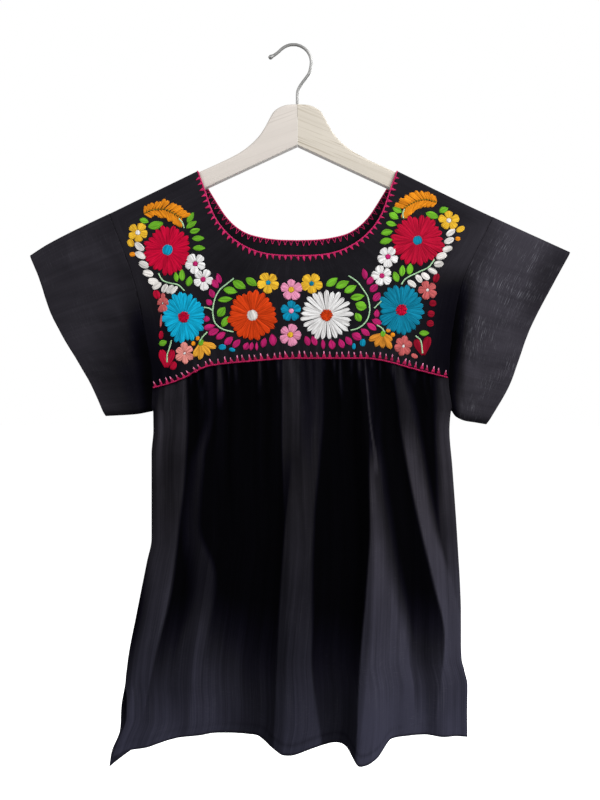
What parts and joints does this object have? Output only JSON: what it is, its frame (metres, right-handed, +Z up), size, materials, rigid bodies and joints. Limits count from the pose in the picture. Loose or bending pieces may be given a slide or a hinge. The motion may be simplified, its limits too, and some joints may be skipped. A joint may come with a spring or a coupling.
{
  "type": "embroidered blouse on a wooden hanger",
  "caption": "Short-sleeved black cotton blouse with an embroidered yoke and a gathered body, hanging flat on a pale wooden clothes hanger.",
  "frame": {"origin": "inner crest of the hanger's hook, where a rail or nail carries it", "axes": "+Z up, -Y out of the front of the blouse, +X to the right of someone who looks at the front"},
  "size_m": [0.6192, 0.0827, 0.8335],
  "materials": {
    "black_cotton": "matte, slubbed plain weave",
    "whitewashed_wood": "whitewashed, satin",
    "steel_wire": "bright"
  },
  "bodies": {
    "root": {"hanger_bar": "whitewashed_wood", "hanger_hook": "steel_wire", "front_yoke": "black_cotton", "back_yoke": "black_cotton", "sleeve_left": "black_cotton", "sleeve_right": "black_cotton", "front_body": "black_cotton", "back_body": "black_cotton"}
  },
  "joints": []
}
